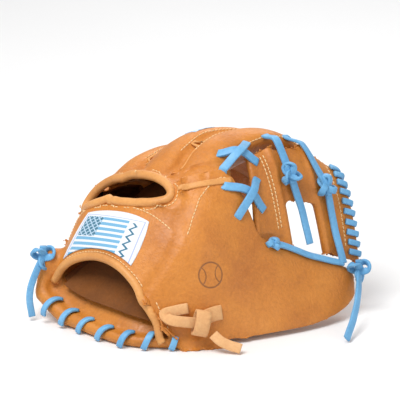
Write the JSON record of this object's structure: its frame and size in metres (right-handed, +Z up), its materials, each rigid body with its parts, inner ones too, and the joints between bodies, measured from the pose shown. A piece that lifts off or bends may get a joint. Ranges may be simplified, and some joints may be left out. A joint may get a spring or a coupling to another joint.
{
  "type": "baseball glove",
  "caption": "Baseball infielder's glove in tan leather with light blue laces, open back, wrist strap with a striped patch, and an I-shaped web between thumb and index finger.",
  "frame": {"origin": "floor point under the heel roll, at the thumb end of the wrist opening", "axes": "+Z up from the floor the glove rests on, +X from the heel towards the web, +Y away from the thumb edge towards the little finger's side"},
  "size_m": [0.3035, 0.2373, 0.1625],
  "materials": {
    "shell": "semi-matte oiled leather",
    "binding": "semi-matte leather, paler cut edge",
    "lining": "matte suede side",
    "felt": "matte felt",
    "fleece": "matte padded cloth",
    "patch": "embroidered cloth",
    "thread": "waxed thread",
    "lace": "satin dyed rawhide"
  },
  "bodies": {
    "hand": {"palm_shell": "shell", "palm_pad": "felt", "palm_lining": "lining", "heel_roll": "shell", "little_stall": "shell", "ring_stall": "shell", "middle_stall": "shell", "index_stall": "shell", "finger_linings": "lining", "finger_welts": "binding", "wrist_strap": "shell", "strap_lining": "fleece", "strap_patch": "patch", "wrist_binding": "binding", "back_binding": "binding", "size_tag": "patch", "strap_stitching": "thread", "finger_stitching": "thread", "heel_lacing": "lace", "heel_knot": "lace", "finger_lacing": "lace"},
    "thumb": {"thumb_shell": "shell", "thumb_pad": "felt", "thumb_lining": "lining", "thumb_binding": "binding", "thumb_heel_roll": "shell", "thumb_heel_lacing": "lace", "thumb_stitching": "thread", "thumb_loop": "binding", "loop_wrap": "binding", "thumb_edge_lace": "lace", "thumb_tip_knot": "lace", "lower_crotch_laces": "lace"},
    "web": {"upper_crotch_laces": "lace", "web_base_bar": "shell", "web_post": "shell", "web_top_bar": "shell", "web_edge_lacing": "lace", "web_stitching": "thread", "inner_tie": "lace", "inner_tie_knot": "lace", "outer_tie": "lace", "outer_tie_knot": "lace", "outer_tie_end": "lace"},
    "heel_lace_end": {"heel_tail": "lace"},
    "thumb_lace_end": {"thumb_tip_tail": "lace"},
    "web_lace_end": {"inner_tie_tail": "lace"},
    "loop_end": {"thumb_loop_tail": "binding"}
  },
  "joints": [
    {"name": "thumb_close", "type": "hinge", "parent": "hand", "child": "thumb", "pos_m": [0.0005, 0.001, 0.024], "axis": [0.4418, 0.5489, 0.7096], "range_deg": [-6, 12]},
    {"name": "web_fold", "type": "hinge", "parent": "hand", "child": "web", "pos_m": [0.0693, 0.0898, 0.1386], "axis": [0.8223, 0.5198, -0.2317], "range_deg": [-7.5, 15]},
    {"name": "heel_lace_swing", "type": "hinge", "parent": "hand", "child": "heel_lace_end", "pos_m": [-0.1045, 0.081, 0.047], "axis": [0, 0, 1], "range_deg": [-20, 20]},
    {"name": "thumb_lace_swing", "type": "hinge", "parent": "thumb", "child": "thumb_lace_end", "pos_m": [0.1785, 0.085, 0.04], "axis": [0, 0, 1], "range_deg": [-15, 15]},
    {"name": "web_lace_swing", "type": "hinge", "parent": "web", "child": "web_lace_end", "pos_m": [0.11, 0.0895, 0.1195], "axis": [0.3522, -0.7547, 0.5535], "range_deg": [-8, 8]},
    {"name": "loop_end_swing", "type": "hinge", "parent": "thumb", "child": "loop_end", "pos_m": [0.0455, -0.007, 0.018], "axis": [0, 0, 1], "range_deg": [-14, 4]}
  ],
  "couplings": [
    {"joint": "web_fold", "follows": "thumb_close", "ratio": 1.25}
  ]
}
